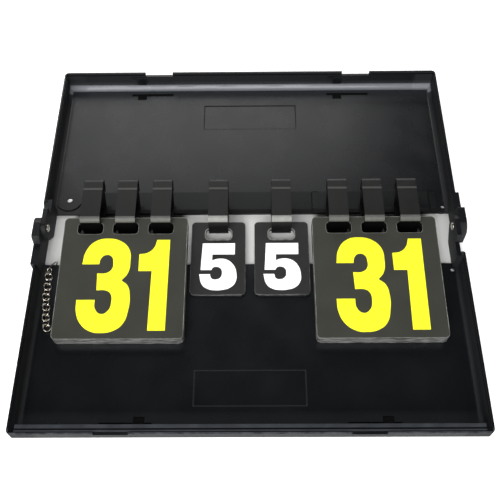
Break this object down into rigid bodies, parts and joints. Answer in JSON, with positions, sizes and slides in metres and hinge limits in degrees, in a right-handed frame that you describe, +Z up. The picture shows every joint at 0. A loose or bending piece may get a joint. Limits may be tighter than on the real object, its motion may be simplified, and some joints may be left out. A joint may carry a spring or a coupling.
{
  "type": "tabletop flip scoreboard",
  "caption": "Folding plastic case lying open on its hinge, with flip score cards and set cards on rings over the gap and a short chain in one corner.",
  "frame": {"origin": "under the middle of the hinge axis, on the surface the case lies on", "axes": "+X along the hinge axis to the right as seen from the front tray, +Y from the front tray to the rear tray, +Z up"},
  "size_m": [0.3982, 0.388, 0.032],
  "materials": {
    "case_plastic": "satin black moulded plastic",
    "ring_plastic": "satin black moulded plastic",
    "rivet_metal": "plain nickel plate",
    "card_plastic": "charcoal printed sheet, satin",
    "leaf_plastic": "charcoal printed sheet with pale cut edges, satin",
    "chain_metal": "worn nickel over brass"
  },
  "bodies": {
    "rear_tray": {"rear_tray": "case_plastic", "hinge_rivet_left": "rivet_metal", "hinge_rivet_right": "rivet_metal", "ring_rail": "ring_plastic", "card_ring_1": "ring_plastic", "card_ring_2": "ring_plastic", "card_ring_3": "ring_plastic", "card_ring_4": "ring_plastic", "card_ring_5": "ring_plastic", "card_ring_6": "ring_plastic", "card_ring_7": "ring_plastic", "card_ring_8": "ring_plastic", "score_pack_left": "leaf_plastic", "score_pack_right": "leaf_plastic", "set_pack_left": "leaf_plastic", "set_pack_right": "leaf_plastic"},
    "front_tray": {"front_tray": "case_plastic", "chain_shackle": "chain_metal", "chain_links": "chain_metal"},
    "score_card_left": {"score_card_left": "card_plastic"},
    "score_card_right": {"score_card_right": "card_plastic"},
    "set_card_left": {"set_card_left": "card_plastic"},
    "set_card_right": {"set_card_right": "card_plastic"}
  },
  "joints": [
    {"name": "case_hinge", "type": "hinge", "parent": "rear_tray", "child": "front_tray", "pos_m": [0, 0, 0.022], "axis": [1, 0, 0], "range_deg": [0, 90]},
    {"name": "score_flip_left", "type": "hinge", "parent": "rear_tray", "child": "score_card_left", "pos_m": [-0.1152, 0.0127, 0.01975], "axis": [-1, 0, 0], "range_deg": [0, 145]},
    {"name": "score_flip_right", "type": "hinge", "parent": "rear_tray", "child": "score_card_right", "pos_m": [0.1152, 0.0127, 0.01975], "axis": [-1, 0, 0], "range_deg": [0, 145]},
    {"name": "set_flip_left", "type": "hinge", "parent": "rear_tray", "child": "set_card_left", "pos_m": [-0.0295, 0.0215, 0.0105], "axis": [-1, 0, 0], "range_deg": [0, 135]},
    {"name": "set_flip_right", "type": "hinge", "parent": "rear_tray", "child": "set_card_right", "pos_m": [0.0295, 0.0215, 0.0105], "axis": [-1, 0, 0], "range_deg": [0, 135]}
  ]
}
